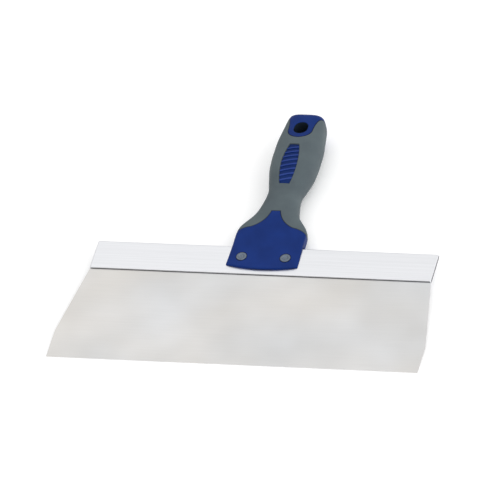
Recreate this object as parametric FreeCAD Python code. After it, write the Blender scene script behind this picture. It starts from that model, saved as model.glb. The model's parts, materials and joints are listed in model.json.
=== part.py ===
import FreeCAD, Part
import math
import os
from FreeCAD import Placement, Rotation, Vector

# Wide flexible knife for spreading filler: a thin stainless blade clamped in a folded aluminium
# backing strip, and a two-colour moulded handle whose foot straddles the strip and is riveted
# through it. All sizes are in millimetres.
#
# The pieces are drawn in the knife's own frame: the middle plane of the blade is z = 0, the middle
# of the working edge is the origin, +Y runs from the edge to the end of the handle. The last step
# lays the whole knife down the way it rests on a table, on the working edge and the palm swell.

os.makedirs("parts", exist_ok=True)

# --- Blade ----------------------------------------------------------------------------------
edge_length = 254.0          # working edge
edge_band = 24.0             # depth of the band with parallel sides, next to the edge
blade_reach = 82.0           # working edge to the lips of the backing strip
blade_thickness = 0.5
blade_tuck = 22.0            # how far the sheet goes up into the fold

# --- Backing strip --------------------------------------------------------------------------
strip_length = 235.0
strip_height = 25.2
strip_wall = 1.2
sheet_gap = 0.03             # between the sheet and each leaf of the fold
lip_radius = 0.35

# --- Handle ---------------------------------------------------------------------------------
# Places along the handle are measured up from the strip's lips.
handle_length = 144.5        # lips of the strip to the end of the handle
foot_gap = 3.7               # middle of the foot above the lips
foot_bow = 2.8               # the foot's ends above its middle
foot_edge_round = 0.8
slot_gap = 0.05              # between the strip and the slot that takes it
end_round = 5.5              # rounding of the free end, towards the two faces
end_corner_round = 3.0       # rounding of its corners, seen from above

foot_half_width = 24.2
foot_flare = 0.6             # how much farther out the foot's sides are at its lower edge
waist_half_width = 11.45
palm_half_width = 16.15
end_half_width = 12.5

foot_half_thickness = 3.3
neck_half_thickness = 8.3
palm_half_thickness = 12.9
end_half_thickness = 10.3

shoulder_up = 35.4           # top of the straight-sided foot
waist_up = 73.0              # narrowest place
palm_up = 106.0              # widest place of the grip

# --- Soft skin ------------------------------------------------------------------------------
skin = 1.8
peak_up = 53.3               # flat top of the core's peak that rises into the skin
peak_half_width = 3.1
hollow_width = 11.4          # hollow side of the peak: across, and down from the peak's top
hollow_depth = 13.9
shoulder_fall = 3.6          # how far the skin's lower edge falls from there to the foot's sides
lobe_radius = 8.5            # end cap's lobe round the hanging hole
lobe_offset = 1.5            # centre of the lobe below the centre of the hole
cap_half_width = 9.6         # the cap above the lobe, where it starts to spread to the sides
cap_spread_rise = 7.1        # that place above the centre of the hole
cap_side_rise = 13.6         # the skin's upper edge at the sides, above the centre of the hole

# --- Label window ---------------------------------------------------------------------------
window_up = 77.6             # lower end of the window
window_length = 33.3
window_low_half_width = 3.4
window_half_width = 5.5
window_high_half_width = 3.1
window_recess = 0.7
rib_count = 8
rib_width = 1.2
rib_rise = 0.45
rib_lean = 14.0              # degrees off square
rib_margin = 3.4             # from each end of the window to the first rib
window_margin = 6.0          # how far the forms for the window reach past its ends

# --- Hanging hole ---------------------------------------------------------------------------
hole_from_end = 16.6         # centre of the hole to the end of the handle
hole_width = 9.4
hole_length = 11.4
hole_mouth_round = 0.5

# --- Rivets ---------------------------------------------------------------------------------
rivet_spacing = 30.2
rivet_above_lips = 13.4
rivet_head_radius = 3.5
rivet_head_thickness = 1.1
rivet_shank_radius = 1.7
rivet_dish_radius = 2.1
rivet_dish_depth = 0.35
rivet_edge_round = 0.3
plastic_under_head = 1.3
rivet_clearance = 0.08

# --- Sizes that follow ----------------------------------------------------------------------
strip_half = blade_thickness / 2 + sheet_gap + strip_wall
strip_top = blade_reach + strip_height
slot_half = strip_half + slot_gap
slot_top = strip_top + slot_gap
foot_at = blade_reach + foot_gap
rivet_at = blade_reach + rivet_above_lips
shoulder_at = blade_reach + shoulder_up
waist_at = blade_reach + waist_up
palm_at = blade_reach + palm_up
handle_end = blade_reach + handle_length
peak_at = blade_reach + peak_up
window_low = blade_reach + window_up
window_high = window_low + window_length
hole_at = handle_end - hole_from_end
rivet_seat = slot_half + plastic_under_head
lobe_at = hole_at - lobe_offset
far = 100.0                  # larger than half of any width, for cutting tools

SECTION_POINTS = 32          # points round one section of the handle
SECTION_STEP = 6.0           # distance between sections along the handle
END_ANGLES = (25, 45, 62, 78)  # sections round the rounded end, as angles of its quarter circle


def mix(low, high, share):
    """The value that lies the given share of the way from low to high."""
    return low + (high - low) * share


# Outline of the handle: distance from the working edge, then the half size there.
width_stations = [
    (foot_at, foot_half_width + foot_flare),
    (strip_top, foot_half_width),
    (shoulder_at, foot_half_width),
    (mix(shoulder_at, waist_at, 0.17), mix(waist_half_width, foot_half_width, 0.88)),
    (mix(shoulder_at, waist_at, 0.31), mix(waist_half_width, foot_half_width, 0.585)),
    (mix(shoulder_at, waist_at, 0.45), mix(waist_half_width, foot_half_width, 0.315)),
    (mix(shoulder_at, waist_at, 0.63), mix(waist_half_width, foot_half_width, 0.145)),
    (waist_at, waist_half_width),
    (mix(waist_at, palm_at, 0.30), mix(waist_half_width, palm_half_width, 0.36)),
    (mix(waist_at, palm_at, 0.64), mix(waist_half_width, palm_half_width, 0.84)),
    (palm_at, palm_half_width),
    (mix(palm_at, handle_end, 0.30), mix(palm_half_width, end_half_width, 0.08)),
    (mix(palm_at, handle_end, 0.62), mix(palm_half_width, end_half_width, 0.50)),
    (handle_end + 1.0, end_half_width),
]
thickness_stations = [
    (foot_at - 6.0, foot_half_thickness),
    (foot_at, foot_half_thickness),
    (strip_top, mix(foot_half_thickness, neck_half_thickness, 0.27)),
    (mix(strip_top, waist_at, 0.35), mix(foot_half_thickness, neck_half_thickness, 0.60)),
    (mix(strip_top, waist_at, 0.66), mix(foot_half_thickness, neck_half_thickness, 0.86)),
    (waist_at, neck_half_thickness),
    (mix(waist_at, palm_at, 0.42), mix(neck_half_thickness, palm_half_thickness, 0.64)),
    (mix(waist_at, palm_at, 0.78), palm_half_thickness),
    (mix(palm_at, handle_end, 0.15), palm_half_thickness),
    (mix(palm_at, handle_end, 0.55), mix(palm_half_thickness, end_half_thickness, 0.60)),
    (handle_end + 1.0, end_half_thickness),
]
# How square the section is: 2 is an ellipse, a large number is nearly a rectangle.
squareness_stations = [
    (foot_at - 6.0, 6.5),
    (strip_top, 5.5),
    (mix(strip_top, waist_at, 0.5), 3.4),
    (waist_at, 2.6),
    (palm_at, 2.4),
    (handle_end + 1.0, 3.5),
]


def value_at(stations, y):
    """Smooth curve through the stations (cubic pieces with matching slopes)."""
    last = len(stations) - 1
    if y <= stations[0][0]:
        return stations[0][1]
    if y >= stations[last][0]:
        return stations[last][1]

    def slope(i):
        if i == 0 or i == last:
            return 0.0
        before = (stations[i][1] - stations[i - 1][1]) / (stations[i][0] - stations[i - 1][0])
        after = (stations[i + 1][1] - stations[i][1]) / (stations[i + 1][0] - stations[i][0])
        if before * after <= 0:
            return 0.0
        return 2 * before * after / (before + after)

    i = max(k for k in range(last) if stations[k][0] <= y)
    y0, v0 = stations[i]
    y1, v1 = stations[i + 1]
    span = y1 - y0
    t = (y - y0) / span
    return (
        v0 * (1 + 2 * t) * (1 - t) ** 2
        + slope(i) * span * t * (1 - t) ** 2
        + v1 * t * t * (3 - 2 * t)
        - slope(i + 1) * span * t * t * (1 - t)
    )


def section(y, inset):
    """Closed section of the handle at y: a super-ellipse, shrunk all round by inset."""
    rounding_start = handle_end - end_round
    curl = 0.0
    if y > rounding_start:
        t = min((y - rounding_start) / end_round, 1.0)
        curl = 1 - math.sqrt(1 - t * t)
    half_width = value_at(width_stations, y) - end_corner_round * curl - inset
    half_thickness = value_at(thickness_stations, y) - end_round * curl - inset
    power = value_at(squareness_stations, y)
    points = []
    for i in range(SECTION_POINTS):
        angle = 2 * math.pi * i / SECTION_POINTS
        c, s = math.cos(angle), math.sin(angle)
        reach = (abs(c) ** power + abs(s) ** power) ** (-1 / power)
        points.append(Vector(half_width * reach * c, y, half_thickness * reach * s))
    curve = Part.BSplineCurve()
    parameters = [i / SECTION_POINTS for i in range(SECTION_POINTS + 1)]
    curve.interpolate(Points=points, PeriodicFlag=True, Parameters=parameters)
    return Part.Wire([curve.toShape()])


def stretch(low, high, inset):
    """The handle's form between two places along it, shrunk all round by inset."""
    count = math.ceil((high - low) / SECTION_STEP)
    places = [mix(low, high, i / count) for i in range(count + 1)]
    return Part.makeLoft([section(y, inset) for y in places], True, False)


def whole_form():
    """The handle's outer form, from below the foot to the rounded end."""
    low, high = foot_at - 4.0, handle_end - end_round
    count = math.ceil((high - low) / SECTION_STEP)
    places = [mix(low, high, i / count) for i in range(count + 1)]
    places += [high + end_round * math.sin(math.radians(angle)) for angle in END_ANGLES]
    return Part.makeLoft([section(y, 0.0) for y in places], True, False)


def prism(edges, low=-far, high=far):
    """Upright solid over a closed outline."""
    face = Part.Face(Part.Wire(edges))
    face.translate(Vector(0, 0, low))
    return face.extrude(Vector(0, 0, high - low))


def line(a, b):
    return Part.LineSegment(Vector(*a, 0), Vector(*b, 0)).toShape()


def arc(a, middle, b):
    return Part.Arc(Vector(*a, 0), Vector(*middle, 0), Vector(*b, 0)).toShape()


def outline(points):
    """Straight edges through the points and back to the first."""
    return [line(a, b) for a, b in zip(points, points[1:] + points[:1])]


def polar(centre, radius, degrees):
    angle = math.radians(degrees)
    return (centre[0] + radius * math.cos(angle), centre[1] + radius * math.sin(angle))


def foot_trim():
    """Everything past the bowed foot."""
    radius = (foot_half_width ** 2 + foot_bow ** 2) / (2 * foot_bow)
    centre = (0, foot_at + radius)
    half_angle = math.degrees(math.asin(1.3 * foot_half_width / radius))
    left, right = polar(centre, radius, -90 - half_angle), polar(centre, radius, -90 + half_angle)
    low = foot_at - far
    return prism([
        arc(left, (0, foot_at), right),
        line(right, (right[0], low)),
        line((right[0], low), (left[0], low)),
        line((left[0], low), left),
    ])


def skin_zone():
    """Plan of the soft skin: from the hollow-sided peak below to the end cap's lobe above."""
    corner = (peak_half_width, peak_at)
    shelf = (peak_half_width + hollow_width, peak_at - hollow_depth)
    hollow = (mix(corner[0], shelf[0], 0.36), mix(corner[1], shelf[1], 0.62))
    side = (foot_half_width, shelf[1] - shoulder_fall)
    slope = (mix(shelf[0], side[0], 0.55), mix(shelf[1], side[1], 0.38))
    outside = (far / 2, side[1] - shoulder_fall)
    lower = [
        line((0, peak_at), corner),
        arc(corner, hollow, shelf),
        arc(shelf, slope, side),
        line(side, outside),
    ]
    centre = (0, lobe_at)
    lobe_end = polar(centre, lobe_radius, -8)
    spread = (cap_half_width, hole_at + cap_spread_rise)
    cap_side = (end_half_width + 1.5, hole_at + cap_side_rise)
    above = (far / 2, cap_side[1] + 3.0)
    upper = [
        arc((0, lobe_at - lobe_radius), polar(centre, lobe_radius, -50), lobe_end),
        arc(lobe_end, (mix(lobe_end[0], spread[0], 0.28), mix(lobe_end[1], spread[1], 0.55)), spread),
        arc(spread, (mix(spread[0], cap_side[0], 0.42), mix(spread[1], cap_side[1], 0.62)), cap_side),
        line(cap_side, above),
    ]
    half = lower + [line(outside, above)] + upper[::-1]
    half.append(line((0, lobe_at - lobe_radius), (0, peak_at)))
    right = prism(Part.__sortEdges__(half))
    return right.fuse(right.mirror(Vector(0, 0, 0), Vector(1, 0, 0))).removeSplitter()


def window_zone():
    """Plan of the label window: long bowed sides, short straight ends."""
    middle = mix(window_low, window_high, 0.5)
    low_right, high_right = (window_low_half_width, window_low), (window_high_half_width, window_high)
    low_left, high_left = (-window_low_half_width, window_low), (-window_high_half_width, window_high)
    return prism([
        line(low_left, low_right),
        arc(low_right, (window_half_width, middle), high_right),
        line(high_right, high_left),
        arc(high_left, (-window_half_width, middle), low_left),
    ])


def slot_hole(width, length, at):
    """Upright hole with half-round ends, lying along Y."""
    radius = width / 2
    offset = length / 2 - radius
    return prism([
        line((radius, at - offset), (radius, at + offset)),
        arc((radius, at + offset), (0, at + offset + radius), (-radius, at + offset)),
        line((-radius, at + offset), (-radius, at - offset)),
        arc((-radius, at - offset), (0, at - offset - radius), (radius, at - offset)),
    ])


def mouth_edges(core):
    """The edges where the hanging hole meets the handle's two faces."""
    reach = hole_length / 2 + 0.1
    found = []
    for edge in core.Edges:
        box = edge.BoundBox
        across = max(abs(box.XMin), abs(box.XMax)) < hole_width / 2 + 0.1
        along = box.YMin > hole_at - reach and box.YMax < hole_at + reach
        if across and along and box.ZLength < end_half_thickness / 2:
            found.append(edge)
    return found


def ribs():
    """Plain leaning ribs across the label window, on both faces."""
    first, last = window_low + rib_margin, window_high - rib_margin
    bars = []
    for i in range(rib_count):
        y = mix(first, last, i / (rib_count - 1))
        bar = Part.makeBox(2 * far, rib_width, 2 * far, Vector(-far, -rib_width / 2, -far))
        bar.rotate(Vector(0, 0, 0), Vector(0, 0, 1), rib_lean)
        bar.translate(Vector(0, y, 0))
        bars.append(bar)
    return Part.makeCompound(bars)


def rivet_bores(radius, reach):
    """Two round cutters on the rivet axes, from -reach to +reach."""
    return [
        Part.makeCylinder(radius, 2 * reach, Vector(x, rivet_at, -reach))
        for x in (-rivet_spacing / 2, rivet_spacing / 2)
    ]


def make_blade():
    top = blade_reach + blade_tuck
    flare = (edge_length - strip_length) / 2 / (blade_reach - edge_band)
    top_half = edge_length / 2 - flare * (top - edge_band)
    half_edge = edge_length / 2
    sheet = prism(
        outline([
            (-half_edge, 0), (half_edge, 0), (half_edge, edge_band),
            (top_half, top), (-top_half, top), (-half_edge, edge_band),
        ]),
        -blade_thickness / 2,
        blade_thickness / 2,
    )
    return sheet.cut(rivet_bores(rivet_shank_radius + rivet_clearance, far))


def make_backing_strip():
    """Sheet folded back on itself: two leaves, a round fold at the top, an open mouth below."""
    def folded(half, low, high):
        centre = high - half
        profile = Part.Wire([
            Part.LineSegment(Vector(0, low, -half), Vector(0, low, half)).toShape(),
            Part.LineSegment(Vector(0, low, half), Vector(0, centre, half)).toShape(),
            Part.Arc(Vector(0, centre, half), Vector(0, high, 0), Vector(0, centre, -half)).toShape(),
            Part.LineSegment(Vector(0, centre, -half), Vector(0, low, -half)).toShape(),
        ])
        solid = Part.Face(profile).extrude(Vector(strip_length, 0, 0))
        solid.translate(Vector(-strip_length / 2, 0, 0))
        return solid

    outer = folded(strip_half, blade_reach, strip_top)
    lips = [
        edge for edge in outer.Edges
        if abs(edge.CenterOfMass.y - blade_reach) < 1e-6 and edge.Length > strip_length / 2
    ]
    outer = outer.makeFillet(lip_radius, lips)
    inner = folded(strip_half - strip_wall, blade_reach - 1.0, strip_top - strip_wall)
    inner_wide = inner.copy()
    inner_wide.translate(Vector(strip_length / 2, 0, 0))
    inner = inner.fuse(inner_wide)
    inner_wide.translate(Vector(-strip_length, 0, 0))
    inner = inner.fuse(inner_wide).removeSplitter()
    strip = outer.cut(inner)
    return strip.cut(rivet_bores(rivet_shank_radius + rivet_clearance, far))


def make_handle():
    """The rigid core and the soft skin moulded over it."""
    slot = Part.makeBox(2 * far, far, 2 * slot_half, Vector(-far, slot_top - far, -slot_half))
    form = whole_form().cut(foot_trim())
    slotted = form.cut(slot)
    foot_edges = [
        edge for edge in slotted.Edges
        if edge.BoundBox.YMax < foot_at + foot_bow + 1.0 and edge.BoundBox.ZLength > foot_edge_round
    ]
    slotted = slotted.makeFillet(foot_edge_round, foot_edges)

    zone = skin_zone()
    window = window_zone()
    inner = stretch(shoulder_at - window_margin, handle_end - end_round, skin)
    skin_piece = form.common(zone).cut(inner).cut(window)

    around_window = (window_low - window_margin, window_high + window_margin)
    window_floor = stretch(*around_window, window_recess).common(window)
    rib_tops = stretch(*around_window, window_recess - rib_rise).common(window).common(ribs())
    core = slotted.cut(zone).fuse([inner.common(zone), window_floor]).fuse(rib_tops)
    core = core.cut(slot_hole(hole_width, hole_length, hole_at))
    core = core.makeFillet(hole_mouth_round, mouth_edges(core))

    core = core.cut(rivet_bores(rivet_shank_radius + rivet_clearance, far))
    seat_radius = rivet_head_radius + rivet_clearance
    for x in (-rivet_spacing / 2, rivet_spacing / 2):
        for side in (1, -1):
            seat = Vector(x, rivet_at, side * rivet_seat)
            core = core.cut(Part.makeCylinder(seat_radius, far, seat, Vector(0, 0, side)))
    return core, skin_piece


def make_rivets():
    """Two rivets, each with a dished disc head at both ends."""
    top = rivet_seat + rivet_head_thickness
    rim = rivet_head_radius
    half = [
        (0, 0), (rivet_shank_radius, 0), (rivet_shank_radius, rivet_seat), (rim, rivet_seat),
        (rim, top - rivet_edge_round), (rim - rivet_edge_round, top), (rivet_dish_radius, top),
        (rivet_dish_radius - rivet_dish_depth, top - rivet_dish_depth), (0, top - rivet_dish_depth),
    ]
    points = [Vector(r, 0, z) for r, z in half]
    wire = Part.makePolygon(points + points[:1])
    upper = Part.Face(wire).revolve(Vector(0, 0, 0), Vector(0, 0, 1), 360)
    rivet = upper.fuse(upper.mirror(Vector(0, 0, 0), Vector(0, 0, 1))).removeSplitter()
    pair = []
    for x in (-rivet_spacing / 2, rivet_spacing / 2):
        copy = rivet.copy()
        copy.translate(Vector(x, rivet_at, 0))
        pair.append(copy)
    return Part.makeCompound(pair)


def lowest(shape, tilt):
    """Lowest z of a shape once the knife is turned by tilt degrees about the X axis."""
    turned = shape.copy()
    turned.Placement = Placement(Vector(), Rotation(Vector(1, 0, 0), tilt)) * turned.Placement
    return turned.optimalBoundingBox(False).ZMin


def resting_tilt(blade, handle):
    """Turn about X at which the working edge and the handle's swell touch the same table."""
    tilt = 0.0
    for _ in range(5):
        gap = lowest(blade, tilt) - lowest(handle, tilt)
        tilt += math.degrees(math.atan2(gap, palm_at))
    return tilt


core, skin_piece = make_handle()
nodes = {
    "blade": make_blade(),
    "backing_strip": make_backing_strip(),
    "handle_core": core,
    "grip_overmould": skin_piece,
    "rivets": make_rivets(),
}

tilt = resting_tilt(nodes["blade"], Part.makeCompound([core, skin_piece]))
turn = Rotation(Vector(1, 0, 0), tilt)
whole = Part.makeCompound(list(nodes.values()))
whole.Placement = Placement(Vector(), turn)
box = whole.optimalBoundingBox(False)
rest = Placement(Vector(0, -(box.YMin + box.YMax) / 2, -box.ZMin), turn)

for name, shape in nodes.items():
    shape.Placement = rest * shape.Placement
    shape.exportStep("parts/" + name + ".step")
    box = shape.optimalBoundingBox(False)
    corners = [round(v, 2) for v in (box.XMin, box.YMin, box.ZMin, box.XMax, box.YMax, box.ZMax)]
    print(name, "solids", len(shape.Solids), "valid", shape.isValid(), "box", corners)

hinge = rest.multVec(Vector(0, blade_reach, 0))
hole = rest.multVec(Vector(0, hole_at, 0))
print("tilt", round(tilt, 4), "hinge", [round(v, 3) for v in hinge], "hole", [round(v, 3) for v in hole])
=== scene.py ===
# %% [markdown]
# # A wide flexible filling knife
#
# The real tool is a thin stainless blade held in a folded aluminium strip, with a two-shot
# moulded handle riveted over the strip. This lesson rebuilds how it looks around a model that
# already has every size right, so each new piece is made at its real size, in its real place.

# %% Load the measured model
import json
import math

import bmesh
import bpy
from mathutils import Matrix, Quaternion, Vector


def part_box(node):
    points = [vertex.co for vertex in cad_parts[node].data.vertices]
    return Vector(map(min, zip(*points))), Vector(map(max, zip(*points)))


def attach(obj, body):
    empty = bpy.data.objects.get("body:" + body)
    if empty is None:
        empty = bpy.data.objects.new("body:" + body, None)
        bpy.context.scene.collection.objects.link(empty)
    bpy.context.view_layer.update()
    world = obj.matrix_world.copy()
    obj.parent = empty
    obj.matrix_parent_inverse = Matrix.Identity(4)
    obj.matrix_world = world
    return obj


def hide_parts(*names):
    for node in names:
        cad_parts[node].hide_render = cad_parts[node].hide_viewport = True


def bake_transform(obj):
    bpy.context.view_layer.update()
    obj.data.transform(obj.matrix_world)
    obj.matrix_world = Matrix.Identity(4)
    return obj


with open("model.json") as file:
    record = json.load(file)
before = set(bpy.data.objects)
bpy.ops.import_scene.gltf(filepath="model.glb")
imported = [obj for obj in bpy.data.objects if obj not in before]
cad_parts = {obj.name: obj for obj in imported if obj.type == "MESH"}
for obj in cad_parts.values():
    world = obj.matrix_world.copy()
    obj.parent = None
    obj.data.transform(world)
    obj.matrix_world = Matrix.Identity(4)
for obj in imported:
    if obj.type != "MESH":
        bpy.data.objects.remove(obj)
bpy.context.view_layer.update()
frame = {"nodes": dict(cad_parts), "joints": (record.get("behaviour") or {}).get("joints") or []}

# %% [markdown]
# ## How the knife lies
#
# The knife rests on its working edge and on the swell of the handle, so its blade is tilted by
# a few degrees. It is far easier to model it flat: the middle plane of the blade at z = 0, the
# working edge along X, and +Y towards the handle. Each finished piece is then laid down by one
# turn and one move. The turn follows from where the model puts the line about which the blade
# bends, which is on the lips of the strip.

# %% Sizes and the resting place
MM = 0.001

edge_length = 254 * MM        # working edge of the blade
edge_band = 24 * MM           # band next to the edge whose sides are parallel
blade_reach = 82 * MM         # working edge to the lips of the strip
blade_tuck = 22 * MM          # how far the sheet goes up into the fold
blade_thickness = 0.5 * MM
strip_length = 235 * MM
strip_height = 25.2 * MM
strip_wall = 1.2 * MM
sheet_gap = 0.03 * MM
rivet_above_lips = 13.4 * MM
handle_length = 144.5 * MM    # lips of the strip to the end of the handle
window_up = 77.6 * MM         # lips to the lower end of the label window
window_length = 33.3 * MM
hole_from_end = 16.6 * MM     # centre of the hanging hole to the end of the handle

lips = Vector(frame["joints"][0]["pos_m"])
blade_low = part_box("blade")[0]
tilt = math.asin((lips.z - blade_low.z - blade_thickness / 2) / blade_reach)
flat_to_rest = (
    Matrix.Translation(lips)
    @ Matrix.Rotation(tilt, 4, "X")
    @ Matrix.Translation((0, -blade_reach, 0))
)
print(f"the knife is tilted {math.degrees(tilt):.2f} degrees")

# %% [markdown]
# ## Helpers for modelling
#
# An operator works on whatever is selected, so a script has to be as careful about selection as
# a hand on the mouse. `start` puts everything aside before a new piece, `pick` selects faces,
# edges or corners by where they are, and `lay_down` brings a flat piece to its resting place.
# `soften` rounds only the corners that face outwards, because the inner ones touch another piece.

# %% Helpers for modelling
sharp_from = math.radians(50)   # edges turned more than this are corners


def start():
    """Object mode with nothing selected."""
    if bpy.context.mode != "OBJECT":
        bpy.ops.object.mode_set(mode="OBJECT")
    bpy.ops.object.select_all(action="DESELECT")


def take(piece):
    """Makes the piece the only selected and active one."""
    start()
    piece.select_set(True)
    bpy.context.view_layer.objects.active = piece


def middle_of(part):
    """Middle of a face, an edge or a corner."""
    if isinstance(part, bmesh.types.BMFace):
        return part.calc_center_median()
    if isinstance(part, bmesh.types.BMEdge):
        return (part.verts[0].co + part.verts[1].co) / 2
    return part.co


def pick(kind, test):
    """In edit mode, selects only the faces, edges or verts that pass the test."""
    bpy.ops.mesh.select_mode(type={"faces": "FACE", "edges": "EDGE", "verts": "VERT"}[kind])
    bpy.ops.mesh.select_all(action="DESELECT")
    mesh = bpy.context.edit_object.data
    work = bmesh.from_edit_mesh(mesh)
    found = [part for part in getattr(work, kind) if test(part)]
    for part in found:
        part.select_set(True)
    work.select_flush_mode()
    bmesh.update_edit_mesh(mesh)
    return len(found)


def lay_down(piece):
    """Turns and moves a piece from the flat knife to the resting one."""
    take(piece)
    piece.matrix_world = flat_to_rest @ piece.matrix_world
    bpy.ops.object.transform_apply(location=True, rotation=True, scale=True)


def finish_with(piece, kind, **settings):
    """Adds a modifier with its settings and applies it."""
    take(piece)
    modifier = piece.modifiers.new(kind.title(), kind)
    for name, value in settings.items():
        setattr(modifier, name, value)
    bpy.ops.object.modifier_apply(modifier=modifier.name)


def smooth(piece, degrees):
    """Smooth shading with sharp edges kept crisp, and large faces kept flat beside small rounds."""
    take(piece)
    bpy.ops.object.shade_smooth_by_angle(angle=math.radians(degrees))
    finish_with(piece, "WEIGHTED_NORMAL", keep_sharp=True, weight=100)


def looks_out(face, place):
    """Whether a face looks away from the knife's long middle line."""
    return face.normal.x * place.x + face.normal.z * place.z > 0


def soften(piece, width, share_at, **settings):
    """Bevels the outward sharp edges; share_at gives the share of the width at a place."""
    work = bmesh.new()
    work.from_mesh(piece.data)
    weight = work.edges.layers.float.new("bevel_weight_edge")
    for edge in work.edges:
        if edge.is_convex and edge.calc_face_angle(0) > sharp_from:
            place = middle_of(edge)
            if any(looks_out(face, place) for face in edge.link_faces):
                edge[weight] = share_at(place)
    work.to_mesh(piece.data)
    work.free()
    finish_with(piece, "BEVEL", width=width, limit_method="WEIGHT",
                use_clamp_overlap=False, loop_slide=False, **settings)


def report(piece):
    """Prints a piece's number of faces and its size."""
    size = piece.dimensions / MM
    print(f"{piece.name}: {len(piece.data.polygons)} faces, "
          f"{size.x:.1f} x {size.y:.1f} x {size.z:.1f} mm")


# %% [markdown]
# ## Camera
#
# The knife is seen from above and a little from its right, from far away through a long lens, so
# that the strip and the edge run nearly parallel. The camera also leans a little: it is turned
# about its own line of sight last.

# %% Place the camera
azimuth = math.radians(22.158)
elevation = math.radians(39.654)
lean = math.radians(-12.237)
distance = 6.6168
aim = Vector((-18.94, -1.81, 8.0)) * MM
towards_camera = Vector((
    math.sin(azimuth) * math.cos(elevation),
    -math.cos(azimuth) * math.cos(elevation),
    math.sin(elevation),
))
turn = towards_camera.to_track_quat("Z", "Y") @ Quaternion((0, 0, 1), lean)
start()
bpy.ops.object.camera_add(location=aim + towards_camera * distance, rotation=turn.to_euler())
camera = bpy.context.object
camera.name = "camera"
camera.data.lens = 742.27
camera.data.sensor_width = 36.0
camera.data.clip_end = 40.0
bpy.context.scene.camera = camera
print("camera at", [round(value, 3) for value in camera.location])

# %% [markdown]
# ## Materials: the tools for making them
#
# Colours are written as the sRGB hex values one reads off a screen, and one function turns them
# to the linear values that light adds up in. Another adds a node, fills in its settings and
# makes its links. Patterns read Object coordinates, in metres, so a scale of 1000 / d gives
# grains d millimetres apart.

# %% Colour and node helpers
def linear(code):
    """sRGB hex to linear RGBA."""
    values = [int(code[i:i + 2], 16) / 255 for i in (1, 3, 5)]
    return [v / 12.92 if v <= 0.04045 else ((v + 0.055) / 1.055) ** 2.4 for v in values] + [1.0]


def node(tree, kind, settings=None, inputs=None, links=None):
    """Adds one node: attributes from settings, socket values from inputs, wires from links."""
    made = tree.nodes.new("ShaderNode" + kind)
    for name, value in (settings or {}).items():
        setattr(made, name, value)
    for name, value in (inputs or {}).items():
        made.inputs[name].default_value = value
    for name, source in (links or {}).items():
        tree.links.new(source, made.inputs[name])
    return made


def new_material(name, **values):
    """A material with an empty Principled shader; returns it with its tree and shader."""
    material = bpy.data.materials.new(name)
    material.use_nodes = True
    tree = material.node_tree
    shader = tree.nodes["Principled BSDF"]
    for socket, value in values.items():
        shader.inputs[socket.replace("_", " ")].default_value = value
    return material, tree, shader


def flat_place(tree):
    """Where a point of the resting knife lies on the flat one, in metres."""
    rest = node(tree, "TexCoord").outputs["Object"]
    back = flat_to_rest.inverted()
    turned = node(tree, "Mapping", inputs={"Location": back.translation,
                                           "Rotation": back.to_euler()}, links={"Vector": rest})
    return turned.outputs["Vector"]


def per_mm(spacing):
    """Noise scale whose features are this many millimetres apart."""
    return 1 / (spacing * MM)


def two_tone(tree, factor, dark, light, low=0.35, high=0.65):
    """Colour ramp from dark to light over the middle of a pattern."""
    ramp = node(tree, "ValToRGB", links={"Fac": factor})
    ramp.color_ramp.elements[0].position = low
    ramp.color_ramp.elements[0].color = linear(dark)
    ramp.color_ramp.elements[1].position = high
    ramp.color_ramp.elements[1].color = linear(light)
    return ramp.outputs["Color"]


def spread(tree, factor, low, high):
    """A pattern brought to the range low to high."""
    made = node(tree, "MapRange", inputs={"To Min": low, "To Max": high}, links={"Value": factor})
    return made.outputs["Result"]


# %% [markdown]
# ## Table, light and view
#
# A product like this is shot on a white sweep under a white tent: light comes from everywhere,
# and only a little more from large soft boxes. A white world that is strongest overhead does the
# tent, and its dimmer foot draws a thin grey line along edges that face away. One soft box stands
# where the flat metal mirrors it, and a larger one to the right models the handle. The view
# transform is the plain one, so that white stays white.

# %% Floor, world and lamps
start()
bpy.ops.mesh.primitive_plane_add(size=24.0, location=(0, 0, -0.05 * MM))
floor = bpy.context.object
floor.name = "floor"

tent_horizon = 0.55      # strength of the white tent at the height of the table
tent_rise = 0.60         # how much is added straight overhead
tent_slant = 0.24        # how much the right is brighter than the middle, and the left darker

world = bpy.data.worlds.new("white_tent")
world.use_nodes = True
sky = world.node_tree
direction = node(sky, "SeparateXYZ", links={"Vector": node(sky, "TexCoord").outputs["Generated"]})
overhead = node(sky, "Math", {"operation": "MAXIMUM"}, {1: 0.0}, {0: direction.outputs["Z"]})
rise = node(sky, "Math", {"operation": "MULTIPLY_ADD"}, {1: tent_rise, 2: tent_horizon},
            {0: overhead.outputs[0]})
slant = node(sky, "Math", {"operation": "MULTIPLY_ADD"}, {1: tent_slant},
             {0: direction.outputs["X"], 2: rise.outputs[0]})
sky.nodes["Background"].inputs["Color"].default_value = (1.0, 1.0, 1.0, 1.0)
sky.links.new(slant.outputs[0], sky.nodes["Background"].inputs["Strength"])
bpy.context.scene.world = world
bpy.context.scene.view_settings.view_transform = "Standard"


def soft_box(name, size, power, place, target):
    """A square area light at a place, facing a target."""
    start()
    facing = (Vector(target) - Vector(place)).to_track_quat("-Z", "Y")
    bpy.ops.object.light_add(type="AREA", location=place, rotation=facing.to_euler())
    lamp = bpy.context.object
    lamp.name = name
    lamp.data.size = size
    lamp.data.energy = power


soft_box("metal_sheen", 0.4, 0.12, (-0.50, 0.86, 1.10), (-0.06, -0.07, 0))
soft_box("key", 1.2, 7.0, (1.6, -0.8, 1.3), (0, 0, 0))
bpy.context.object.visible_glossy = False   # so the flat metal never mirrors it as a glare

# %% [markdown]
# ### Stainless spring steel, cold rolled
#
# The blade is hardened stainless strip, rolled between polished rollers and wiped with oil. It
# shows the world as a soft grey blur, a bit lighter or darker in wide clouds where the rollers
# left it smoother, with a faint grain along the rolling direction, which runs along the edge.

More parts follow.
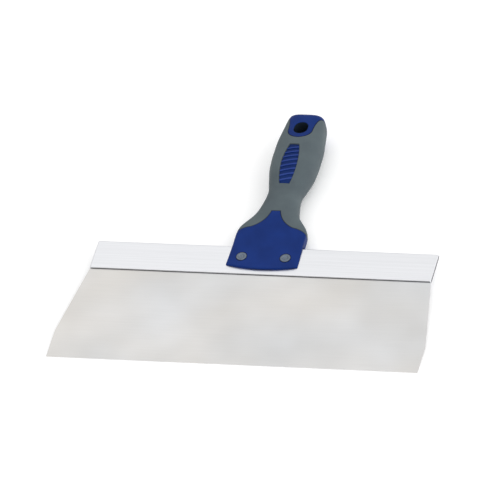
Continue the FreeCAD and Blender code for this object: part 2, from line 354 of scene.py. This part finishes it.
# %% Blade steel
def blade_steel():
    """Soft grey metal with wide clouds and a faint grain along the edge."""
    material, tree, shader = new_material(
        "stainless_spring_steel_cold_rolled", Metallic=1.0)
    place = flat_place(tree)
    clouds = node(tree, "TexNoise", inputs={"Scale": per_mm(60), "Detail": 2.0, "Roughness": 0.5},
                  links={"Vector": place}).outputs["Fac"]
    tint = node(tree, "TexNoise", {"noise_dimensions": "4D"},
                {"W": 3.0, "Scale": per_mm(75), "Detail": 1.0}, {"Vector": place}).outputs["Fac"]
    along = node(tree, "Mapping", inputs={"Scale": (1.0, 30.0, 1.0)}, links={"Vector": place})
    grain = node(tree, "TexNoise", inputs={"Scale": per_mm(40), "Detail": 6.0, "Roughness": 0.7},
                 links={"Vector": along.outputs["Vector"]}).outputs["Fac"]
    tone = two_tone(tree, clouds, "#dbdad8", "#e8e8e8", 0.30, 0.70)
    oil = two_tone(tree, tint, "#fdfaf6", "#f9fbfe", 0.30, 0.70)
    fine = two_tone(tree, grain, "#fbfbfb", "#ffffff", 0.3, 0.7)
    tinted = node(tree, "Mix", {"data_type": "RGBA", "blend_type": "MULTIPLY"},
                  {"Factor": 1.0}, {"A": tone, "B": oil})
    colour = node(tree, "Mix", {"data_type": "RGBA", "blend_type": "MULTIPLY"},
                  {"Factor": 1.0}, {"A": tinted.outputs["Result"], "B": fine})
    tree.links.new(colour.outputs["Result"], shader.inputs["Base Color"])
    tree.links.new(spread(tree, clouds, 0.40, 0.28), shader.inputs["Roughness"])
    bump = node(tree, "Bump", inputs={"Strength": 0.05, "Distance": 0.02 * MM},
                links={"Height": grain})
    tree.links.new(bump.outputs["Normal"], shader.inputs["Normal"])
    return material


steel = blade_steel()
print(steel.name)

# %% [markdown]
# ### Brushed aluminium
#
# The strip is drawn aluminium, brushed along its length before folding. Aluminium reflects more
# than steel, so it is the brightest metal here. The brush lines are a quarter of a millimetre
# apart and centimetres long: a noise stretched along the strip gives them. Lines that fine would
# vanish at this distance, so a coarser set, nearly a millimetre apart, varies colour and gloss.
# The cut edges are not brushed but torn by the shears, so they are much duller; their darker colour
# is painted shade.

# %% Strip aluminium
def strip_aluminium():
    """Bright metal with brush lines along the strip."""
    material, tree, shader = new_material(
        "aluminium_drawn_and_brushed", Metallic=1.0)
    place = flat_place(tree)
    along = node(tree, "Mapping", inputs={"Scale": (0.012, 1.0, 1.0)}, links={"Vector": place})
    coarse = node(tree, "TexNoise", inputs={"Scale": per_mm(0.9), "Detail": 5.0, "Roughness": 0.65},
                  links={"Vector": along.outputs["Vector"]}).outputs["Fac"]
    fine = node(tree, "TexNoise", inputs={"Scale": per_mm(0.25), "Detail": 3.0},
                links={"Vector": along.outputs["Vector"]}).outputs["Fac"]
    tone = two_tone(tree, coarse, "#e8e9ec", "#f3f4f7", 0.25, 0.75)
    tree.links.new(tone, shader.inputs["Base Color"])
    tree.links.new(spread(tree, coarse, 0.32, 0.40), shader.inputs["Roughness"])
    bump = node(tree, "Bump", inputs={"Strength": 0.08, "Distance": 0.02 * MM},
                links={"Height": fine})
    tree.links.new(bump.outputs["Normal"], shader.inputs["Normal"])
    return material


def sheared_edge():
    """The cut edges of the strip: torn and dull, painted darker as shade."""
    material, tree, shader = new_material(
        "aluminium_sheared_edge_painted_shade", Metallic=1.0, Roughness=0.62)
    place = flat_place(tree)
    tear = node(tree, "TexNoise", inputs={"Scale": per_mm(0.7), "Detail": 3.0},
                links={"Vector": place}).outputs["Fac"]
    tree.links.new(two_tone(tree, tear, "#58585b", "#76767a"), shader.inputs["Base Color"])
    return material


aluminium = strip_aluminium()
cut_edge_painted_shade = sheared_edge()
print(aluminium.name, cut_edge_painted_shade.name)

# %% [markdown]
# ### Moulded polypropylene
#
# The core is blue polypropylene from a mould with a fine spark-eroded skin. It is deep in colour
# with a dull sheen, never a sharp reflection. Grains of a third of a millimetre break up the
# gloss, and slow drifts in the colour show where the melt flowed. A fine ridge along the middle
# of the sides is the parting line of the mould. Darker copies of the blue are painted shade: on
# every outward edge and along the joint with the rubber, on the floor of the label window, and
# nearly black on the wall of the hanging hole. A paler copy is painted highlight on the rib tops.

# %% Core plastic
def parting_line(tree, place, grain, height):
    """Grain, plus a fine ridge where the two halves of the mould met."""
    level = node(tree, "SeparateXYZ", links={"Vector": place}).outputs["Z"]
    away = node(tree, "Math", {"operation": "ABSOLUTE"}, links={0: level})
    ridge = node(tree, "MapRange", inputs={"From Min": 0.05 * MM, "From Max": 0.22 * MM,
                                           "To Min": height, "To Max": 0.0},
                 links={"Value": away.outputs[0]})
    total = node(tree, "Math", {"operation": "ADD"}, links={0: ridge.outputs[0], 1: grain})
    return total.outputs[0]


def core_plastic(name, dark, light, sheen=0.12):
    """Dull moulded plastic between two shades."""
    material, tree, shader = new_material(name, Specular_IOR_Level=sheen)
    place = flat_place(tree)
    flow = node(tree, "TexNoise", inputs={"Scale": per_mm(14), "Detail": 2.0},
                links={"Vector": place}).outputs["Fac"]
    grain = node(tree, "TexNoise", inputs={"Scale": per_mm(0.35), "Detail": 2.0},
                 links={"Vector": place}).outputs["Fac"]
    tree.links.new(two_tone(tree, flow, dark, light), shader.inputs["Base Color"])
    tree.links.new(spread(tree, grain, 0.38, 0.52), shader.inputs["Roughness"])
    bump = node(tree, "Bump", inputs={"Strength": 0.35, "Distance": 0.03 * MM},
                links={"Height": parting_line(tree, place, grain, 4.0)})
    tree.links.new(bump.outputs["Normal"], shader.inputs["Normal"])
    return material


blue = core_plastic("polypropylene_moulded_blue", "#0a2a6c", "#0e2f76")
# The next four are lit and shaded copies of the blue: painted shade on outward edges, painted
# highlight on rib tops, near-black painted shade in the hanging hole, and painted shade on the
# window floor.
edge_shade_blue = core_plastic("polypropylene_edges_painted_shade", "#060d2c", "#0a1438")
rib_highlight_blue = core_plastic("polypropylene_ribs_painted_highlight", "#21397f", "#2b438a")
hole_shade_blue = core_plastic("polypropylene_hole_painted_shade", "#1a222c", "#28323f", 0.05)
window_shade_blue = core_plastic("polypropylene_recess_painted_shade", "#08235a", "#0b2964")
print(blue.name, edge_shade_blue.name, rib_highlight_blue.name, hole_shade_blue.name, window_shade_blue.name)

# %% [markdown]
# ### Thermoplastic rubber
#
# The grip is a soft rubber shot over the core. It is a grey with a touch of green, fully matt
# and slightly powdery, from a mould with a coarser texture than the core's. A little sheen does
# the powdery look at grazing angles.

# %% Grip rubber
def grip_rubber(name, dark, light):
    """Matt, slightly powdery rubber between two shades."""
    material, tree, shader = new_material(
        name, Specular_IOR_Level=0.2, Sheen_Weight=0.05, Sheen_Roughness=0.5)
    place = flat_place(tree)
    drift = node(tree, "TexNoise", inputs={"Scale": per_mm(18), "Detail": 3.0},
                 links={"Vector": place}).outputs["Fac"]
    grain = node(tree, "TexNoise", inputs={"Scale": per_mm(0.55), "Detail": 3.0, "Roughness": 0.6},
                 links={"Vector": place}).outputs["Fac"]
    tree.links.new(two_tone(tree, drift, dark, light), shader.inputs["Base Color"])
    tree.links.new(spread(tree, grain, 0.66, 0.82), shader.inputs["Roughness"])
    bump = node(tree, "Bump", inputs={"Strength": 0.45, "Distance": 0.05 * MM},
                links={"Height": parting_line(tree, place, grain, 3.0)})
    tree.links.new(bump.outputs["Normal"], shader.inputs["Normal"])
    return material


rubber = grip_rubber("thermoplastic_rubber_matt_grey", "#525c61", "#5a6569")
# A darker copy of the grey is painted shade on the grip's outward edges.
edge_shade_grey = grip_rubber("thermoplastic_rubber_edges_painted_shade", "#3a4247", "#434c51")
print(rubber.name, edge_shade_grey.name)

# %% [markdown]
# ### Zinc-plated rivet steel
#
# The rivets are soft steel, plated grey and tumbled in a barrel, so they are dull and mottled at
# the scale of a tenth of a millimetre, and darker than the strip beside them.

# %% Rivet steel
def rivet_steel():
    """Mottled grey plating."""
    material, tree, shader = new_material("steel_zinc_plated_tumbled", Metallic=1.0)
    place = node(tree, "TexCoord").outputs["Object"]
    mottle = node(tree, "TexNoise", inputs={"Scale": per_mm(0.6), "Detail": 4.0, "Roughness": 0.65},
                  links={"Vector": place}).outputs["Fac"]
    tree.links.new(two_tone(tree, mottle, "#5f6975", "#828d9c"), shader.inputs["Base Color"])
    tree.links.new(spread(tree, mottle, 0.30, 0.55), shader.inputs["Roughness"])
    bump = node(tree, "Bump", inputs={"Strength": 0.3, "Distance": 0.03 * MM},
                links={"Height": mottle})
    tree.links.new(bump.outputs["Normal"], shader.inputs["Normal"])
    return material


zinc = rivet_steel()
print(zinc.name)

# %% [markdown]
# ### The paper under the knife
#
# The sweep is matt white paper. It also glows a little, as a light table does, which keeps the
# white even and the shadow round the knife faint.

# %% Floor material
def sweep_paper():
    """White paper that glows a little, as if lit from below."""
    material, tree, shader = new_material(
        "matt_white_sweep", Roughness=0.9, Specular_IOR_Level=0.1, Emission_Strength=0.14)
    place = node(tree, "TexCoord").outputs["Object"]
    fibre = node(tree, "TexNoise", inputs={"Scale": per_mm(4), "Detail": 2.0},
                 links={"Vector": place}).outputs["Fac"]
    tree.links.new(two_tone(tree, fibre, "#fdfdfd", "#ffffff"), shader.inputs["Base Color"])
    return material


floor.data.materials.append(sweep_paper())
print(floor.data.materials[0].name)

# %% [markdown]
# ## The blade
#
# The blade is one flat sheet, 254 mm along its working edge. Its sides run straight up for 24 mm
# and then draw in towards the strip. On the real knife it is stamped from strip steel. Here a
# plane the size of the parallel band is extruded from its upper edge and that new edge drawn in.
# Cuts every 2 mm divide the sheet into narrow rows, so that it would stay smooth if bent. Solidify
# then gives the sheet its half millimetre, and a fine bevel the burnished edges that catch the
# light.

# %% Blade sheet
sheet_top = blade_reach + blade_tuck
draw_in = (edge_length - strip_length) / 2 / (blade_reach - edge_band)
top_width = edge_length - 2 * draw_in * (sheet_top - edge_band)

start()
bpy.ops.mesh.primitive_plane_add(size=1, location=(0, edge_band / 2, 0))
blade = bpy.context.object
blade.name = "blade_sheet"
blade.scale = (edge_length, edge_band, 1)
bpy.ops.object.transform_apply(location=True, rotation=True, scale=True)
bpy.ops.object.mode_set(mode="EDIT")
pick("edges", lambda edge: middle_of(edge).y > edge_band - MM / 10)
bpy.ops.mesh.extrude_region_move(
    TRANSFORM_OT_translate={"value": (0, sheet_top - edge_band, 0)})
bpy.ops.transform.resize(value=(top_width / edge_length, 1, 1))
row = 2 * MM
for i in range(1, int(sheet_top / row)):
    bpy.ops.mesh.select_all(action="SELECT")
    bpy.ops.mesh.bisect(plane_co=(0, i * row, 0), plane_no=(0, 1, 0))
bpy.ops.mesh.select_all(action="SELECT")
bpy.ops.mesh.normals_make_consistent(inside=False)
bpy.ops.object.mode_set(mode="OBJECT")
report(blade)

# %% [markdown]
# Two round holes, hidden inside the handle, let the rivets through. A cylinder cuts each one.

# %% Blade thickness and rivet holes
rivet_spacing = 30.2 * MM
rivet_at = blade_reach + rivet_above_lips
rivet_shank_radius = 1.7 * MM
rivet_clearance = 0.08 * MM


def cut_rivet_holes(piece):
    """Two upright round holes through a flat piece."""
    for side in (-1, 1):
        start()
        bpy.ops.mesh.primitive_cylinder_add(
            vertices=32, radius=rivet_shank_radius + rivet_clearance, depth=20 * MM,
            location=(side * rivet_spacing / 2, rivet_at, 0))
        cutter = bpy.context.object
        finish_with(piece, "BOOLEAN", operation="DIFFERENCE", object=cutter, solver="EXACT")
        bpy.data.objects.remove(cutter)


finish_with(blade, "SOLIDIFY", thickness=blade_thickness, offset=0)
cut_rivet_holes(blade)
finish_with(blade, "BEVEL", width=0.08 * MM, segments=2, limit_method="ANGLE",
            angle_limit=math.radians(60))
smooth(blade, 30)
lay_down(blade)
blade.data.materials.append(steel)
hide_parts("blade")
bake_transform(blade)
report(blade)

# %% [markdown]
# ## The backing strip
#
# The strip is a sheet folded back on itself over the blade, and that is how it is made here: a
# plane for the upper leaf, its top edge spun half a turn for the fold, and the last edge
# extruded down again for the lower leaf. Solidify adds the wall on the outside of the sheet.
# The outer edges of the lips are rounded, and below the round the cut face, painted dark as shade,
# draws the dark line between strip and blade. The round is twice the measured model's, to keep that
# line thin.

# %% Strip folded from a sheet
strip_edge_round = 0.7 * MM
leaf_at = blade_thickness / 2 + sheet_gap
strip_top = blade_reach + strip_height
fold_at = strip_top - leaf_at - strip_wall

start()
bpy.ops.mesh.primitive_plane_add(size=1, location=(0, (blade_reach + fold_at) / 2, leaf_at))
strip = bpy.context.object
strip.name = "backing_strip_folded"
strip.scale = (strip_length, fold_at - blade_reach, 1)
bpy.ops.object.transform_apply(location=True, rotation=True, scale=True)
bpy.ops.object.mode_set(mode="EDIT")
pick("edges", lambda edge: middle_of(edge).y > fold_at - MM / 10)
bpy.ops.mesh.spin(steps=12, angle=math.pi, center=(0, fold_at, 0), axis=(1, 0, 0))
bpy.ops.mesh.extrude_region_move(TRANSFORM_OT_translate={"value": (0, blade_reach - fold_at, 0)})
bpy.ops.mesh.select_all(action="SELECT")
bpy.ops.mesh.remove_doubles(threshold=0.001 * MM)
bpy.ops.mesh.normals_make_consistent(inside=False)
bpy.ops.object.mode_set(mode="OBJECT")
report(strip)

# %% Strip wall, holes and rounds
def outside_share(place):
    """Only the outer edges of the fold are rounded, not those against the blade."""
    from_middle = math.hypot(place.z, max(place.y - fold_at, 0))
    return 1.0 if from_middle > leaf_at + strip_wall / 2 else 0.0


upper_leaf = max(strip.data.polygons, key=lambda face: face.center.z * face.area)
outward = 1 if upper_leaf.normal.z > 0 else -1
finish_with(strip, "SOLIDIFY", thickness=strip_wall, offset=outward, use_even_offset=True)
cut_rivet_holes(strip)
soften(strip, strip_edge_round, outside_share, segments=4)
smooth(strip, 30)
strip_finishes = [aluminium, cut_edge_painted_shade]
for finish in strip_finishes:
    strip.data.materials.append(finish)
# The cut faces of the lips and ends get the dark edge finish: painted shade in the seam along the
# blade and on the strip's ends.
for face in strip.data.polygons:
    cut_lip = face.center.y < blade_reach + 0.01 * MM
    cut_end = abs(face.center.x) > strip_length / 2 - 0.01 * MM
    if cut_lip or cut_end:
        face.material_index = strip_finishes.index(cut_edge_painted_shade)
lay_down(strip)
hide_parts("backing_strip")
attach(strip, "handle_assembly")
report(strip)

# %% [markdown]
# ## The rivets
#
# Each rivet is a shank with a disc head at both ends, dished in the middle by the setting tool.
# A cylinder makes the head: the rim is bevelled, the top inset and pushed down for the dish, and
# the underside inset and drawn down to the middle of the knife for half the shank. A mirror
# makes the other half.

# %% One rivet, mirrored and copied
head_radius = 3.5 * MM
head_thickness = 1.1 * MM
dish_radius = 2.1 * MM
dish_depth = 0.35 * MM
plastic_under_head = 1.3 * MM
slot_gap = 0.05 * MM
seat = leaf_at + strip_wall + slot_gap + plastic_under_head

start()
bpy.ops.mesh.primitive_cylinder_add(
    vertices=64, radius=head_radius, depth=head_thickness,
    location=(-rivet_spacing / 2, rivet_at, seat + head_thickness / 2))
rivet = bpy.context.object
rivet.name = "rivet_left"
bpy.ops.object.transform_apply(location=True, rotation=True, scale=True)
bpy.ops.object.mode_set(mode="EDIT")
pick("faces", lambda face: face.normal.z > 0.9)
bpy.ops.mesh.inset(thickness=head_radius - dish_radius)
bpy.ops.mesh.inset(thickness=dish_depth * 1.2, depth=-dish_depth)
bpy.ops.mesh.inset(thickness=dish_radius / 3, depth=-dish_depth / 8)
pick("faces", lambda face: face.normal.z < -0.9)
bpy.ops.mesh.inset(thickness=head_radius - rivet_shank_radius)
bpy.ops.mesh.extrude_region_move(TRANSFORM_OT_translate={"value": (0, 0, -seat)})
bpy.ops.mesh.delete(type="FACE")
bpy.ops.object.mode_set(mode="OBJECT")
print("dish is", round(dish_depth / MM, 2), "mm deep")

# %% Finish both rivets
finish_with(rivet, "MIRROR", use_axis=(False, False, True), use_clip=True)
finish_with(rivet, "BEVEL", width=0.22 * MM, segments=3, limit_method="ANGLE",
            angle_limit=math.radians(30))
take(rivet)
bpy.ops.object.mode_set(mode="EDIT")
bpy.ops.mesh.select_all(action="SELECT")
bpy.ops.mesh.normals_make_consistent(inside=False)
bpy.ops.object.mode_set(mode="OBJECT")
bpy.ops.object.duplicate()
other_rivet = bpy.context.object
other_rivet.name = "rivet_right"
other_rivet.location.x += rivet_spacing
for piece in (rivet, other_rivet):
    smooth(piece, 40)
    lay_down(piece)
    piece.data.materials.append(zinc)
    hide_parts("rivets")
    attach(piece, "handle_assembly")
    report(piece)

# %% [markdown]
# ## The handle
#
# The handle's two shapes are already exact in the measured model: the hard core with its foot,
# slot, label window and hanging hole, and the soft grip that fills the space round it. What the
# measured model lacks is the softness of a moulding. A mould never makes a knife-sharp edge, and
# where the two plastics meet there is always a fine groove. So copies of both are merged, and all
# their outward corners are bevelled, less on the small ribs. Along the joint two bevels make the
# groove. Every bevel gets a darker edge material, which is painted shade along the edges.

# %% A copy with merged corners
joint_round = 0.3 * MM
window_low = blade_reach + window_up
window_high = window_low + window_length
slot_half = leaf_at + strip_wall + slot_gap


def merged_copy(node_name, piece_name):
    """A copy of a measured piece, on the flat knife, with its loose triangles merged."""
    piece = bpy.data.objects.new(piece_name, frame["nodes"][node_name].data.copy())
    bpy.context.scene.collection.objects.link(piece)
    piece.data.name = piece_name
    piece.data.materials.clear()
    piece.data.transform(flat_to_rest.inverted())
    take(piece)
    bpy.ops.object.mode_set(mode="EDIT")
    bpy.ops.mesh.select_all(action="SELECT")
    bpy.ops.mesh.remove_doubles(threshold=0.002 * MM)
    bpy.ops.object.mode_set(mode="OBJECT")
    return piece


# %% [markdown]
# The core's corners get a bevel of 0.3 mm, those in the label window under a third of that, and
# the slot that holds the strip none, because the strip fills it. The rib tops, the floor of the
# window and the wall of the hanging hole are then given their own materials by where they are:
# a paler blue on the rib tops as painted highlight, darker blues on the window floor and the hole
# wall as painted shade.

# %% Core
rib_share = 0.3


def core_share(place):
    """How much of the full bevel an edge of the core gets."""
    in_window = abs(place.x) < 6 * MM and window_low - MM < place.y < window_high + MM
    if abs(place.z) < slot_half + 0.3 * MM:
        return 0.0
    return rib_share if in_window else 1.0


core = merged_copy("handle_core", "core_moulded")
core_finishes = [blue, edge_shade_blue, rib_highlight_blue, hole_shade_blue, window_shade_blue]
for finish in core_finishes:
    core.data.materials.append(finish)
soften(core, joint_round, core_share, segments=2, material=core_finishes.index(edge_shade_blue))
report(core)

# %% Rib tops, window floor and the wall of the hole
rib_count = 8
rib_width = 1.2 * MM
rib_margin = 3.4 * MM
rib_lean = math.radians(14)
hole_at = blade_reach + handle_length - hole_from_end
hole_width = 9.4 * MM
hole_length = 11.4 * MM


def on_rib(place):
    """Whether a place in the window is on one of the leaning ribs."""
    step = (window_high - window_low - 2 * rib_margin) / (rib_count - 1)
    along = place.y - place.x * math.tan(rib_lean) - window_low - rib_margin
    nearest = min(max(round(along / step), 0), rib_count - 1) * step
    return abs(along - nearest) * math.cos(rib_lean) < rib_width / 2 + 0.02 * MM


def in_hole(place):
    """Whether a place is inside the hanging hole's outline."""
    offset = hole_length / 2 - hole_width / 2
    beyond = max(abs(place.y - hole_at) - offset, 0)
    return math.hypot(place.x, beyond) < hole_width / 2 + 0.05 * MM


# Rib tops get painted highlight; the window floor and the hole wall get painted shade.
for face in core.data.polygons:
    place, up = face.center, abs(face.normal.z)
    if up > 0.6 and abs(place.x) < 5.6 * MM and window_low < place.y < window_high:
        face.material_index = core_finishes.index(rib_highlight_blue if on_rib(place) else window_shade_blue)
    elif up < 0.5 and in_hole(place):
        face.material_index = core_finishes.index(hole_shade_blue)
counts = [sum(face.material_index == i for face in core.data.polygons)
          for i in range(len(core_finishes))]
print("core faces by material:", counts)

# %% Finish the core
smooth(core, 35)
lay_down(core)
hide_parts("handle_core")
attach(core, "handle_assembly")
report(core)

# %% [markdown]
# The grip is softened the same way. Its inner side hugs the core and stays as it is.

# %% Grip
grip = merged_copy("grip_overmould", "grip_overmoulded")
grip_finishes = [rubber, edge_shade_grey]
for finish in grip_finishes:
    grip.data.materials.append(finish)
# Its bevels take the darker grey, painted shade along the edges.
soften(grip, joint_round, lambda place: 1.0, segments=2,
       material=grip_finishes.index(edge_shade_grey))
smooth(grip, 35)
lay_down(grip)
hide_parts("grip_overmould")
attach(grip, "handle_assembly")
report(grip)
